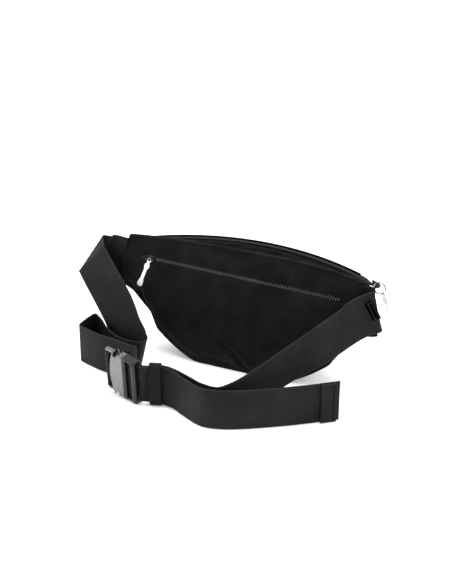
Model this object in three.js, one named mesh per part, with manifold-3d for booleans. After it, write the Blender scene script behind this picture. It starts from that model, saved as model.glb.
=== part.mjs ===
// A waist pack: a soft bag with a back pocket, closed by two zips, on a webbing belt with a
// side-release buckle. Millimetres, +Z up. The wearer's side of the bag, its back, faces -Y,
// the belt lies on the ground in front of it, and +X is the bag's right-hand end from there.
import * as THREE from 'three';
import { mergeVertices } from 'three/addons/utils/BufferGeometryUtils.js';
import Module from 'manifold-3d';

const wasm = await Module();
wasm.setup();

// ---------------------------------------------------------------- driving dimensions
const gap = 0.35;                    // between pieces that touch
const bag = {
  halfLength: 164,                   // from the middle to each end seam, half way up it
  endLean: 0.27,                     // how far an end seam runs outwards for each mm down
  topMiddle: 154,
  dropLeft: 6, dropRight: 14,        // how much lower the top edge is at each end
  flatHalf: 58,                      // half of the length that lies on the ground
  endRise: 84,                       // height of the lower corner at x = halfLength + 6
  endStep: 13,                       // how far the flat ends step up from the belly
  lean: THREE.MathUtils.degToRad(5), // of the back panel, away from the wearer
  middleDepth: 88,
  endDepth: 14,
  panel: 3,                          // padded back panel
  cloth: 2,                          // the other panels, with their lining
  bodyHalf: 138,                     // where the hollow part ends and the wings begin
};
const webbing = { width: 50, thick: 1.5, onGround: 25.4 };
const buckle = {
  at: [-113.5, -117, 34.5],          // middle of the socket's webbing bar
  yaw: -14, pitch: 5, lean: 8,       // degrees
  bar: 2,                            // radius of the webbing bars
  railIn: 25.9, railOut: 29.2,       // side rails, from the middle of the webbing
  socket: { from: 5.4, to: 27, half: 6 },
  window: { from: 11, to: 21 },
  mouthHalf: 24,                     // half the height of the socket's mouth
  plug: { from: 27.3, to: 47, half: 5.5 },
};
const backZip = {                    // in the back panel's own plane
  left: [-133, 125], right: [122, 118],
  slot: 7, tape: 6, coil: 1.6,
};
const topZip = {                     // a circular arc over the front of the top
  halfChord: 158, end: [25, 137], middle: [58, 147.5], shown: 10.4, tape: 5.2,
  chainHalfAngle: 25.8, parkedAngle: 25.6,
};
const footprintShift = [19, 26, 0.4]; // puts the origin at the middle of the whole footprint

// ---------------------------------------------------------------- materials
function cloth(colour, roughness) {
  return new THREE.MeshStandardMaterial({ color: colour, roughness, metalness: 0 });
}
const nylon = cloth(0x17171a, 0.72);
const webbingCloth = cloth(0x2b2b2d, 0.62);
const liningCloth = cloth(0x202023, 0.8);
const elastic = cloth(0x1c1c1e, 0.85);
const plastic = new THREE.MeshStandardMaterial({ color: 0x1d1e20, roughness: 0.28, metalness: 0.0 });
const coilPlastic = new THREE.MeshStandardMaterial({ color: 0x26272a, roughness: 0.4, metalness: 0 });
const bright = new THREE.MeshStandardMaterial({ color: 0xe6e7e8, roughness: 0.3, metalness: 0.9 });
const gunmetal = new THREE.MeshStandardMaterial({ color: 0x9c9d9a, roughness: 0.35, metalness: 0.8 });
const darkMetal = new THREE.MeshStandardMaterial({ color: 0x2e2f32, roughness: 0.35, metalness: 0.8 });

// ---------------------------------------------------------------- solids
function toSolid(geometry) {
  const g = geometry.clone();
  g.deleteAttribute('normal');
  g.deleteAttribute('uv');
  const merged = mergeVertices(g, 1e-4);
  return new wasm.Manifold(new wasm.Mesh({
    numProp: 3,
    vertProperties: new Float32Array(merged.attributes.position.array),
    triVerts: new Uint32Array(merged.index.array),
  }));
}

function toGeometry(solid) {
  const mesh = solid.getMesh();
  const g = new THREE.BufferGeometry();
  g.setAttribute('position', new THREE.BufferAttribute(new Float32Array(mesh.vertProperties), 3));
  g.setIndex(new THREE.BufferAttribute(new Uint32Array(mesh.triVerts), 1));
  g.computeVertexNormals();
  return g;
}

function cut(geometry, ...cutters) {
  return toGeometry(cutters.reduce((solid, cutter) => solid.subtract(toSolid(cutter)), toSolid(geometry)));
}

function join(...geometries) {
  const solids = geometries.map(toSolid);
  return toGeometry(solids.reduce((sum, solid) => sum.add(solid)));
}

function block(x0, x1, y0, y1, z0, z1) {
  const g = new THREE.BoxGeometry(x1 - x0, y1 - y0, z1 - z0);
  return g.translate((x0 + x1) / 2, (y0 + y1) / 2, (z0 + z1) / 2);
}

function plate(shape, z0, z1, bevel = 0) {
  const g = new THREE.ExtrudeGeometry(shape, {
    depth: z1 - z0 - 2 * bevel, bevelEnabled: bevel > 0, bevelThickness: bevel,
    bevelSize: bevel, bevelOffset: -bevel, bevelSegments: 2, curveSegments: 12,
  });
  return g.translate(0, 0, z0 + bevel);
}

function outline(points) {
  return new THREE.Shape(points.map(([x, y]) => new THREE.Vector2(x, y)));
}

// A closed skin between two faces, each given by the same grid of points.
function skin(outer, inner, columns, rows) {
  const positions = [];
  const index = [];
  const at = (side, i, j) => side * (columns + 1) * (rows + 1) + i * (rows + 1) + j;
  for (const face of [outer, inner]) {
    for (let i = 0; i <= columns; i += 1) {
      for (let j = 0; j <= rows; j += 1) positions.push(...face(i / columns, j / rows).toArray());
    }
  }
  const quad = (a, b, c, d) => index.push(a, b, c, a, c, d);
  for (let i = 0; i < columns; i += 1) {
    for (let j = 0; j < rows; j += 1) {
      quad(at(0, i, j), at(0, i + 1, j), at(0, i + 1, j + 1), at(0, i, j + 1));
      quad(at(1, i, j), at(1, i, j + 1), at(1, i + 1, j + 1), at(1, i + 1, j));
    }
    quad(at(0, i, 0), at(1, i, 0), at(1, i + 1, 0), at(0, i + 1, 0));
    quad(at(0, i, rows), at(0, i + 1, rows), at(1, i + 1, rows), at(1, i, rows));
  }
  for (let j = 0; j < rows; j += 1) {
    quad(at(0, 0, j), at(0, 0, j + 1), at(1, 0, j + 1), at(1, 0, j));
    quad(at(0, columns, j), at(1, columns, j), at(1, columns, j + 1), at(0, columns, j + 1));
  }
  const g = new THREE.BufferGeometry();
  g.setAttribute('position', new THREE.Float32BufferAttribute(positions, 3));
  g.setIndex(index);
  return outward(g);
}

function outward(geometry) {
  const p = geometry.attributes.position;
  const index = geometry.index.array;
  const [a, b, c] = [new THREE.Vector3(), new THREE.Vector3(), new THREE.Vector3()];
  let volume = 0;
  for (let k = 0; k < index.length; k += 3) {
    a.fromBufferAttribute(p, index[k]);
    b.fromBufferAttribute(p, index[k + 1]);
    c.fromBufferAttribute(p, index[k + 2]);
    volume += a.dot(b.cross(c));
  }
  if (volume < 0) {
    for (let k = 0; k < index.length; k += 3) [index[k], index[k + 1]] = [index[k + 1], index[k]];
  }
  geometry.computeVertexNormals();
  return geometry;
}

// Cloth of one thickness: the inner face lies the thickness below the outer one.
function clothSkin(outer, thickness, columns, rows) {
  const step = 1e-3;
  const inner = (u, v) => {
    const [u0, u1] = [Math.max(0, u - step), Math.min(1, u + step)];
    const [v0, v1] = [Math.max(0, v - step), Math.min(1, v + step)];
    const along = outer(u1, v).sub(outer(u0, v));
    const across = outer(u, v1).sub(outer(u, v0));
    return outer(u, v).addScaledVector(along.cross(across).normalize(), -thickness);
  };
  return skin(outer, inner, columns, rows);
}

// Flat webbing or tape through stations [x, y, z, leanX, leanY]: the middle of its width, and
// how far its upper edge leans for each mm of height.
function ribbon(stations, width, thick, perSpan = 5) {
  const middle = new THREE.CatmullRomCurve3(stations.map((s) => new THREE.Vector3(s[0], s[1], s[2])));
  const leans = new THREE.CatmullRomCurve3(
    stations.map((s) => new THREE.Vector3(s[3] ?? 0, s[4] ?? 0, s[5] ?? 1)), false, 'catmullrom', 0.5);
  const steps = (stations.length - 1) * perSpan;
  const corner = (across, through) => (u) => {
    const tangent = middle.getTangent(u);
    const up = leans.getPoint(u);
    up.addScaledVector(tangent, -up.dot(tangent)).normalize();
    const normal = new THREE.Vector3().crossVectors(tangent, up);
    return middle.getPoint(u)
      .addScaledVector(up, across * width / 2)
      .addScaledVector(normal, through * thick / 2);
  };
  const faceAt = (through) => (u, v) => corner(2 * v - 1, through)(u);
  return skin(faceAt(1), faceAt(-1), steps, 4);
}

// ---------------------------------------------------------------- the bag's shape
const endX = (z) => bag.halfLength + (113 - z) * bag.endLean;
const topZ = (x) => {
  const drop = x < 0 ? bag.dropLeft : bag.dropRight;
  return bag.topMiddle - drop * (Math.abs(x) / bag.halfLength) ** 3;
};
// The belly's edge rises to a step where the flat ends begin.
const { smoothstep } = THREE.MathUtils;
const bottomZ = (x) => {
  const far = Math.abs(x);
  const belly = bag.endRise * (Math.max(0, far - bag.flatHalf) / 112) ** 1.42;
  return belly + bag.endStep * smoothstep(far, 114, 127) * (1 - 0.75 * smoothstep(far, 148, 172));
};
const backY = (z) => z * Math.tan(bag.lean);            // outer face of the back panel
const frontOfPanel = (z) => backY(z) + bag.panel / Math.cos(bag.lean) + gap;
const depthAt = (x) => {
  const s = Math.min(1, Math.abs(x) / bag.halfLength);
  return bag.endDepth + (bag.middleDepth - bag.endDepth) * (1 - s ** 2.2) ** 1.1;
};

const topArc = (() => {
  const rise = new THREE.Vector2(topZip.middle[0] - topZip.end[0], topZip.middle[1] - topZip.end[1]);
  const sagitta = rise.length();
  const radius = (topZip.halfChord ** 2 + sagitta ** 2) / (2 * sagitta);
  const out = rise.clone().normalize();
  return {
    radius, out,
    centre: new THREE.Vector3(0, topZip.middle[0] - radius * out.x, topZip.middle[1] - radius * out.y),
    axis: new THREE.Vector3(0, -out.y, out.x),
  };
})();

function onTopArc(angle, outwards = 0, above = 0) {
  const along = (topArc.radius + outwards) * Math.sin(angle);
  const out = (topArc.radius + outwards) * Math.cos(angle);
  return new THREE.Vector3(along, out * topArc.out.x, out * topArc.out.y)
    .add(topArc.centre)
    .addScaledVector(topArc.axis, above);
}

const zipAt = (x, outwards) => onTopArc(Math.asin(x / (topArc.radius + outwards)), outwards);

// The top panel behind the zip, ruled from the back seam to the zip.
function rearTopPoint(u, v) {
  const x = (2 * u - 1) * bag.bodyHalf;
  const seam = new THREE.Vector3(x, frontOfPanel(topZ(x)) + 1, topZ(x));
  const zip = zipAt(x, -topZip.shown / 2);
  const dome = 3 * 4 * v * (1 - v) * (1 - (x / bag.bodyHalf) ** 2);
  return seam.lerp(new THREE.Vector3(x, zip.y, zip.z), v).add(new THREE.Vector3(0, 0, dome));
}

// The front panel: a bulging section from the zip down to the front edge of the bottom.
function frontSection(x) {
  const zip = zipAt(x, topZip.shown / 2);
  const lowest = bottomZ(x);
  const height = zip.z - lowest;
  const footY = frontOfPanel(lowest) + 0.5 * (depthAt(x) - frontOfPanel(lowest));
  const bulgeY = (depthAt(x) - 0.125 * (zip.y + footY)) / 0.75;
  return new THREE.CubicBezierCurve3(
    new THREE.Vector3(x, zip.y, zip.z),
    new THREE.Vector3(x, bulgeY, zip.z - 0.04 * height),
    new THREE.Vector3(x, bulgeY, lowest + 0.06 * height),
    new THREE.Vector3(x, footY, lowest),
  );
}
const frontPoint = (u, v) => frontSection((2 * u - 1) * bag.bodyHalf).getPoint(v);

function bottomPoint(u, v) {
  const x = (2 * u - 1) * bag.bodyHalf;
  const foot = frontSection(x).v3;
  return new THREE.Vector3(x, foot.y - 3 * gap, foot.z)
    .lerp(new THREE.Vector3(x, frontOfPanel(bottomZ(x)) + gap, bottomZ(x)), v);
}

// A wing: the flat filled end of the bag, between the back panel and the end seam.
function wing(side) {
  const [inner, outer] = [bag.bodyHalf + gap, bag.halfLength - 1];
  const surface = (u, v) => {
    const x = inner + (outer - inner) * u;
    const [high, lowest] = [topZ(side * x) - 6.5, bottomZ(x) + 1.5];
    const angle = 2 * Math.PI * v;
    const z = (high + lowest) / 2 - (high - lowest) / 2 * Math.cos(angle);
    const deep = (depthAt(x) - frontOfPanel(z)) * Math.abs(Math.sin(angle)) ** 0.7;
    const y = frontOfPanel(z) + (v < 0.5 ? Math.max(0, deep) : 0);
    return new THREE.Vector3(side * (x + (113 - z) * bag.endLean * u), y, z);
  };
  return loft(surface, 8, 28);
}

// A closed solid whose rings are given by u along it and v round it.
function loft(surface, rings, sides) {
  const positions = [];
  const index = [];
  for (let i = 0; i <= rings; i += 1) {
    for (let j = 0; j < sides; j += 1) positions.push(...surface(i / rings, j / sides).toArray());
  }
  const at = (i, j) => i * sides + (j % sides);
  for (let i = 0; i < rings; i += 1) {
    for (let j = 0; j < sides; j += 1) {
      index.push(at(i, j), at(i + 1, j), at(i + 1, j + 1), at(i, j), at(i + 1, j + 1), at(i, j + 1));
    }
  }
  for (let j = 1; j < sides - 1; j += 1) {
    index.push(at(0, 0), at(0, j), at(0, j + 1), at(rings, 0), at(rings, j + 1), at(rings, j));
  }
  const g = new THREE.BufferGeometry();
  g.setAttribute('position', new THREE.Float32BufferAttribute(positions, 3));
  g.setIndex(index);
  return outward(g);
}

function backPanel() {
  const ends = [];
  const steps = 24;
  const along = (z) => z / Math.cos(bag.lean);
  const edge = (height, x) => [x, along(height(x))];
  const reach = (height) => {
    let x = bag.halfLength;
    for (let k = 0; k < 8; k += 1) x = endX(height(x));
    return x;
  };
  for (const [height, way] of [[bottomZ, 1], [topZ, -1]]) {
    const far = reach(height);
    for (let k = 0; k <= steps; k += 1) ends.push(edge(height, way * far * (2 * k / steps - 1)));
  }
  return cut(plate(outline(ends), -bag.panel, 0), zipSlot(backZip.slot));
}

// The slit for the back zip, in the panel's plane.
function zipSlot(height) {
  const [[x0, y0], [x1, y1]] = [backZip.left, backZip.right];
  const length = Math.hypot(x1 - x0, y1 - y0);
  return block(0, length, -height / 2, height / 2, -9, 9)
    .rotateZ(Math.atan2(y1 - y0, x1 - x0)).translate(x0, y0, 0);
}

// A shallow tray of pocket cloth behind the back panel.
function pocketLining() {
  const shallow = 8;
  const shape = (inset) => {
    const [w, low, high] = [112 - inset, 18 + inset, 134 - inset];
    return outline([[-w + 62, low], [w - 62, low], [w, 78], [w, high], [-w, high], [-w, 78]]);
  };
  const front = -bag.panel - gap;
  const wall = 1.2;
  return cut(plate(shape(0), front - shallow, front), plate(shape(wall), front - shallow + wall, front + 1));
}

// ---------------------------------------------------------------- zips
function zipChain(length) {
  const { tape, coil } = backZip;
  const profile = outline([
    [-tape / 2, -0.5], [tape / 2, -0.5], [tape / 2, 0.2], [2.2, 0.2], [1.7, coil - 0.4],
    [0.3, coil], [-0.3, coil], [-1.7, coil - 0.4], [-2.2, 0.2], [-tape / 2, 0.2],
  ]);
  return plate(profile, 0, length).rotateY(Math.PI / 2).rotateX(Math.PI / 2);
}

// The top chain follows the arc; its section is [across the zip, above it].
function topChain() {
  const { tape, chainHalfAngle } = topZip;
  const { coil } = backZip;
  const halfAngle = THREE.MathUtils.degToRad(chainHalfAngle);
  const section = [
    [-tape / 2, -0.5], [-tape / 2, 0.3], [-2.2, 0.3], [-1.4, coil], [1.4, coil], [2.2, 0.3], [tape / 2, 0.3],
  ];
  const upper = (u, v) => {
    const place = v * (section.length - 1);
    const k = Math.min(section.length - 2, Math.floor(place));
    const part = place - k;
    const across = section[k][0] + (section[k + 1][0] - section[k][0]) * part;
    const above = section[k][1] + (section[k + 1][1] - section[k][1]) * part;
    return onTopArc((2 * u - 1) * halfAngle, across, above);
  };
  const lower = (u, v) => {
    const end = section[section.length - 1];
    return onTopArc((2 * u - 1) * halfAngle, section[0][0] + (end[0] - section[0][0]) * v, -0.5);
  };
  return skin(upper, lower, 48, section.length - 1);
}

// A slider: x along the zip, y across it, z away from the cloth, with a bail for the pull.
function sliderBody() {
  const nose = new THREE.Shape();
  nose.moveTo(-5.5, -2.6);
  nose.lineTo(1, -4.4);
  nose.quadraticCurveTo(5.5, -4, 5.5, 0);
  nose.quadraticCurveTo(5.5, 4, 1, 4.4);
  nose.lineTo(-5.5, 2.6);
  nose.closePath();
  const body = plate(nose, 2, 3.4, 0.4);
  const bail = cut(block(-5.6, 5.6, -0.8, 0.8, 3, 7.6), block(-4.4, 4.4, -2, 2, 3.8, 6.5));
  return join(body, bail);
}

// A dog-bone pull hanging down -Y, thin in z, from the middle of its eye.
function pullTab() {
  const shape = new THREE.Shape();
  shape.absarc(0, 0, 2.9, -0.3 * Math.PI, 1.3 * Math.PI, false);
  shape.lineTo(-2.1, -5);
  shape.lineTo(-3.3, -6.5);
  shape.lineTo(-3.3, -10.5);
  shape.lineTo(-2, -12);
  shape.lineTo(-2.2, -28);
  shape.quadraticCurveTo(-3.6, -30, -3.6, -36);
  shape.quadraticCurveTo(0, -40.5, 3.6, -36);
  shape.quadraticCurveTo(3.6, -30, 2.2, -28);
  shape.lineTo(2, -12);
  shape.lineTo(3.3, -10.5);
  shape.lineTo(3.3, -6.5);
  shape.lineTo(2.1, -5);
  shape.closePath();
  const eye = new THREE.Path();
  eye.absarc(0, 0, 1.5, 0, Math.PI * 2, true);
  shape.holes.push(eye);
  return plate(shape, -1, 1, 0.45);
}

// ---------------------------------------------------------------- buckle, in its own frame
// x runs from the socket's webbing bar to the plug's end, y up the webbing, z to the viewer.
function roundBar(x, z, radius, half) {
  return new THREE.CylinderGeometry(radius, radius, 2 * half, 20).translate(x, 0, z);
}

function socketBody() {
  const { from, to, half } = buckle.socket;
  const { railIn, railOut, bar } = buckle;
  const face = new THREE.Shape();
  face.moveTo(to, -railOut);
  face.lineTo(to, railOut);
  face.lineTo(from + 6, railOut);
  face.quadraticCurveTo(from - 5.2, 0, from + 6, -railOut);
  face.closePath();
  const rails = [-1, 1].map((side) => {
    const [low, high] = side < 0 ? [-railOut, -railIn] : [railIn, railOut];
    return plate(outline([[-bar, low], [from + 9, low], [from + 9, high], [-bar, high]]), -2.6, 2.6, 0.6);
  });
  const cavity = block(from + 3, to + 1, -buckle.mouthHalf, buckle.mouthHalf, -3.7, 3.7);
  const windows = block(buckle.window.from, buckle.window.to, -railOut - 1, railOut + 1, -3.7, 3.7);
  const notches = [-1, 1].map((side) => {
    const notch = new THREE.Shape();
    notch.absellipse(buckle.window.from + 5, side * (railOut + 0.5), 3.2, 6, 0, Math.PI * 2);
    return plate(notch, -half - 1, half + 1);
  });
  const shell = cut(join(plate(face, -half, half, 1.2), ...rails), cavity, windows, ...notches);
  return join(shell, roundBar(0, 0, bar, railIn + 1));
}

function plugBody() {
  const { from, to, half } = buckle.plug;
  const { railIn, railOut } = buckle;
  const base = join(block(from, from + 4.6, -railOut, railOut, -half, half));
  const rails = [-1, 1].map((side) => {
    const [low, high] = side < 0 ? [-railOut, -railIn] : [railIn, railOut];
    return plate(outline([[from + 2, low], [to, low], [to, high], [from + 2, high]]), -half, half, 1.2);
  });
  const tongue = plate(outline([[14, -5], [from + 2, -6.5], [from + 2, 6.5], [14, 5]]), -2.4, 2.4, 0.5);
  const endBar = plate(outline([
    [to - 5.6, 2.3], [to - 1.2, 2.3], [to - 0.6, 4.4], [to - 1.8, half], [to - 4.4, half], [to - 5.6, 4.4],
  ]), -railIn - 1, railIn + 1).rotateX(Math.PI / 2);
  const webbingBar = roundBar(from + 9.3, -0.1, 1.6, railIn + 1);
  return join(base, ...rails, tongue, webbingBar, endBar);
}

// A latching prong for one side; it bends at its root, next to the plug's base.
function prong(side) {
  const shape = outline([
    [26.9, 16.2], [26.9, 19.8], [21.4, 21], [20.6, 25.6], [16, 26.4],
    [11.8, 25], [11.5, 21.4], [14, 19.6], [20, 17],
  ].map(([x, y]) => [x, side * y]));
  return plate(shape, -2.8, 2.8, 0.4);
}

// ---------------------------------------------------------------- assembly
const assembly = new THREE.Group();
assembly.position.set(...footprintShift);

function add(parent, name, geometry, material) {
  const mesh = new THREE.Mesh(geometry, material);
  mesh.name = name;
  parent.add(mesh);
  return mesh;
}

// The back panel, and all that is sewn to it. The group's x runs along the panel, y up it
// and z out of it, towards the wearer.
const back = new THREE.Group();
back.rotation.x = Math.PI / 2 - bag.lean;
assembly.add(back);
add(back, 'back_panel', backPanel(), nylon);
add(back, 'back_pocket_lining', pocketLining(), liningCloth);

const { left: zipLeft, right: zipRight } = backZip;
const backRun = new THREE.Group();
backRun.position.set(zipLeft[0], zipLeft[1], 0);
backRun.rotation.z = Math.atan2(zipRight[1] - zipLeft[1], zipRight[0] - zipLeft[0]);
back.add(backRun);
const backLength = Math.hypot(zipRight[0] - zipLeft[0], zipRight[1] - zipLeft[1]);
add(backRun, 'back_zip_chain', zipChain(backLength - 2 * gap).translate(gap, 0, -1), coilPlastic);

const backSlider = new THREE.Group();
backSlider.position.set(7, 0, -1);
backRun.add(backSlider);
add(backSlider, 'back_zip_slider', sliderBody(), darkMetal);
const backHanging = new THREE.Group();
backHanging.position.set(0, 0, 5.1);
backHanging.rotation.z = THREE.MathUtils.degToRad(-20);
backSlider.add(backHanging);
add(backHanging, 'back_zip_pull', pullTab().translate(0, -2.2, 0), bright);

add(assembly, 'top_panel_rear', clothSkin(rearTopPoint, bag.cloth, 30, 6), nylon);
add(assembly, 'front_panel', clothSkin(frontPoint, bag.cloth, 40, 20), nylon);
add(assembly, 'bottom_panel', clothSkin(bottomPoint, bag.cloth, 40, 4), nylon);
for (const [name, side] of [['wing_left', -1], ['wing_right', 1]]) {
  add(assembly, name, wing(side), nylon);
}
add(assembly, 'main_zip_chain', topChain(), coilPlastic);

// The main slider is parked at the right-hand end of its arc, its pull hanging beside the bag.
const parked = THREE.MathUtils.degToRad(topZip.parkedAngle);
const mainSlider = new THREE.Group();
mainSlider.position.copy(onTopArc(parked));
mainSlider.setRotationFromMatrix(new THREE.Matrix4().makeBasis(
  new THREE.Vector3(Math.cos(parked), -Math.sin(parked) * topArc.out.x, -Math.sin(parked) * topArc.out.y),
  new THREE.Vector3(Math.sin(parked), Math.cos(parked) * topArc.out.x, Math.cos(parked) * topArc.out.y),
  topArc.axis,
));
assembly.add(mainSlider);
add(mainSlider, 'main_zip_slider', sliderBody(), darkMetal);
mainSlider.updateMatrix();
// A wire ring goes through the bail, over the slider's nose, and carries the pull.
const ring = { radius: 7, wire: 0.8, droop: 36, pullOut: 20 };
const ringGroup = new THREE.Group();
ringGroup.position.set(0, 0, 5.4);
ringGroup.rotation.y = THREE.MathUtils.degToRad(ring.droop);
mainSlider.add(ringGroup);
add(ringGroup, 'main_zip_ring',
  new THREE.TorusGeometry(ring.radius, ring.wire, 8, 32).translate(ring.radius, 0, 0), bright);
mainSlider.updateMatrixWorld(true);
const mainHanging = new THREE.Group();
mainHanging.position.set(2 * ring.radius, 0, 0).applyMatrix4(ringGroup.matrixWorld);
mainHanging.rotation.set(Math.PI / 2, 0, THREE.MathUtils.degToRad(ring.pullOut), 'XYZ');
assembly.add(mainHanging);
add(mainHanging, 'main_zip_pull', pullTab(), bright);

// ---------------------------------------------------------------- belt
const buckleGroup = new THREE.Group();
buckleGroup.position.set(...buckle.at);
buckleGroup.rotation.set(
  THREE.MathUtils.degToRad(90 + buckle.lean), THREE.MathUtils.degToRad(buckle.pitch),
  THREE.MathUtils.degToRad(buckle.yaw), 'ZYX',
);
buckleGroup.updateMatrix();
assembly.add(buckleGroup);
add(buckleGroup, 'buckle_socket', socketBody(), gunmetal);
add(buckleGroup, 'buckle_plug', plugBody(), plastic);
add(buckleGroup, 'prong_upper', prong(1), gunmetal);
add(buckleGroup, 'prong_lower', prong(-1), gunmetal);

// A webbing station at (x, z) of the buckle's own frame.
const buckleUp = new THREE.Vector3(0, 1, 0).transformDirection(buckleGroup.matrix);
function atBuckle(x, z) {
  const p = new THREE.Vector3(x, 0, z).applyMatrix4(buckleGroup.matrix);
  return [p.x, p.y, p.z, buckleUp.x / buckleUp.z, buckleUp.y / buckleUp.z];
}

// Stations on an arc round a bar, from one angle to another, in degrees from the buckle's x.
function roundTheBar(x, z, radius, from, to) {
  const steps = 8;
  return Array.from({ length: steps + 1 }, (_, k) => {
    const angle = THREE.MathUtils.degToRad(from + (to - from) * k / steps);
    return atBuckle(x + radius * Math.cos(angle), z + radius * Math.sin(angle));
  });
}

const low = webbing.onGround;
// Left: out of the wing, over a roll towards the wearer's side, down to the ground, to and fro
// in two bends, and round the socket's bar.
const leftBelt = [
  [-163.9, 10.5, 120, 0.27, 0], [-172.1, 13, 122.2, 0.27, 0.05],
  [-182.6, 13.5, 123, 0.38, 0.15], [-197.5, 9.5, 123.5, 0.51, 0.28],
  [-203.5, 3, 120.5, 0.68, 0.32], [-196, -1, 110.5, 1.05, 0.33], [-184.5, -8, 99, 1.25, 0.33],
  [-158.5, -25.5, 71, 1.2, 0.3], [-136, -38.5, 46.5, 0.92, 0.14], [-114.5, -45, 29, 0.41, -0.09],
  [-103.5, -54.5, 26.2, 0.28, -0.05], [-103, -65, low, 0.22, 0], [-112, -71.5, low, 0.1, 0],
  [-125, -70, low],
  [-138, -64, low], [-155, -53, low], [-171, -37.5, low], [-180, -28, low], [-190, -24, low],
  [-199.5, -30, low], [-203, -42, low], [-198.5, -54, low], [-187, -61.5, low], [-172, -67.5, low],
  [-152, -73, low], [-128, -76.5, low], [-108, -80.5, low], [-97, -84.5, low + 1], [-92.5, -93, low + 2.5],
  [-95.5, -102, low + 4, 0.02, -0.05], [-103, -108, low + 6.5, 0.04, -0.1], atBuckle(6, -6.6),
  ...roundTheBar(0, 0, 3.15, -125, -360 - 25),
];
// Right: folded back at the wing, leaning down to the ground behind the free end.
const rightBelt = [
  [165.8, 10.5, 113, -0.27, 0], [169.4, 9.8, 114, -0.27, 0.02], [171.4, 6.2, 114.2, -0.27, 0.04],
  [168.4, 1.6, 113, -0.29, 0.02], [157, -2, 107, -0.34, -0.13], [143.5, -10, 96.5, -0.33, -0.29],
  [121, -37.5, 79.5, -0.31, -0.33], [95.5, -65, 62.5, -0.2, -0.44], [77, -87.5, 49, -0.13, -0.41],
  [58.5, -110, 36, -0.06, -0.29], [42, -127, 28, 0, -0.1], [38.5, -129.2, 27, 0, -0.06],
];
// The rest of that length: to the plug, round its middle bar, and back in front as the free end.
const plugWeb = [
  [26, -132.4, low + 0.2], [12, -129.5, low], [0, -124.5, low], [-14, -118.8, low], [-28, -115, low + 0.8],
  [-43, -114.6, low + 1.9], [-56.5, -119.6, low + 2.6, 0.06, -0.14],
  atBuckle(51, -3.5), atBuckle(46, -3.4), atBuckle(40, -3.5),
  ...roundTheBar(36.6, -0.1, 3.2, -100, -260), atBuckle(39, 1.4), atBuckle(42, -0.6),
  atBuckle(47, -0.9), atBuckle(51, -0.9), [-57, -123.2, low + 2.6, 0.06, -0.14], [-43, -118.1, low + 1.9],
  [-28, -119, low + 0.8], [-14, -125.5, low], [0, -132.5, low], [10, -137, low], [24, -140, low],
  [44, -135, low], [65, -124, low], [97, -102.5, low], [126, -80.5, low], [153, -57, low],
];
add(assembly, 'strap_left', ribbon(leftBelt, webbing.width, webbing.thick), webbingCloth);
add(assembly, 'strap_right', ribbon(rightBelt, webbing.width, webbing.thick), webbingCloth);
add(assembly, 'strap_adjusting_end', ribbon(plugWeb, webbing.width, webbing.thick), webbingCloth);

// The folded hem sits on the free end's outer face.
const hem = [[137.5, -74.2, low], [145, -67.9, low], [151.5, -61.9, low]];
add(assembly, 'strap_hem', ribbon(hem, webbing.width, 1.6), webbingCloth);

// The elastic keeper, a flat loop round both layers.
const keeper = {
  at: [-50.5, -119.1, 28], lean: 4, yaw: 20.3,
  width: 13.6, thickness: 13, height: 55.2, wall: 1,
};
const keeperGroup = new THREE.Group();
keeperGroup.position.set(...keeper.at);
keeperGroup.rotation.set(
  THREE.MathUtils.degToRad(keeper.lean), 0, THREE.MathUtils.degToRad(keeper.yaw), 'ZYX');
assembly.add(keeperGroup);
const { width: kw, thickness: kt, height: kh, wall } = keeper;
add(keeperGroup, 'strap_keeper', cut(
  block(-kw / 2, kw / 2, -kt / 2, kt / 2, -kh / 2, kh / 2),
  block(-kw, kw, wall - kt / 2, kt / 2 - wall, wall - kh / 2, kh / 2 - wall),
), elastic);

// The side tab, sewn on the belt's fold at the right-hand end, on the wearer's side.
const tab = { at: [169.3, -3.6, 118], lean: -30, width: 9, height: 22, thick: 1.8 };
const tabGroup = new THREE.Group();
tabGroup.position.set(...tab.at);
tabGroup.rotation.set(0, THREE.MathUtils.degToRad(tab.lean), 0);
assembly.add(tabGroup);
const { width: tw, height: th, thick: tt } = tab;
add(tabGroup, 'side_tab', block(-tw / 2, tw / 2, -tt / 2, tt / 2, -th / 2, th / 2), webbingCloth);

export default assembly;
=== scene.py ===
"""The look of a waist pack on its belt. Shapes are worked out in millimetres in the bag's own
frame (x along the bag, y away from the wearer, z up) and put down in metres by placed()."""
import math

import bpy
from mathutils import Matrix, Vector, noise


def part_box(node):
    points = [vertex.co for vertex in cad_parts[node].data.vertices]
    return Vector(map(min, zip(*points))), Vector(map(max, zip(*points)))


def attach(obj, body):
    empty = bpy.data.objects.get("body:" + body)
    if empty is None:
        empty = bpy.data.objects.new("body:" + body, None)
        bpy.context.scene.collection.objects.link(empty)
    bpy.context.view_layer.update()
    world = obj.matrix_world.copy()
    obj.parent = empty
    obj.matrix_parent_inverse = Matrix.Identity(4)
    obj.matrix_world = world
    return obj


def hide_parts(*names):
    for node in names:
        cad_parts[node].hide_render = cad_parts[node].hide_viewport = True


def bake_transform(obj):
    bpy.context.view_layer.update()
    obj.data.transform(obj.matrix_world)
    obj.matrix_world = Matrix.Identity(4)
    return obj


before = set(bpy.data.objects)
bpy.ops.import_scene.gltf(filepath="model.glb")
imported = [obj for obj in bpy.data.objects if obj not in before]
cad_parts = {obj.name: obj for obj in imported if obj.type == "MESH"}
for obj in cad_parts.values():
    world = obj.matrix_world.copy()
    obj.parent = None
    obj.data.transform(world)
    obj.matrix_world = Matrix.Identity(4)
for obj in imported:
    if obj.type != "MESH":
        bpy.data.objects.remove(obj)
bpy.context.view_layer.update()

MM = 0.001
LEAN = math.radians(5)          # of the back panel
PANEL = 3.0                     # its thickness
HALF_LENGTH = 164.0             # from the middle to each end seam, half way up
BODY_HALF = 138.0               # where the hollow part ends and the wings begin
END_LEAN, END_MIDDLE = 0.27, 113.0      # the end seams lean outwards below this height
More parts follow.
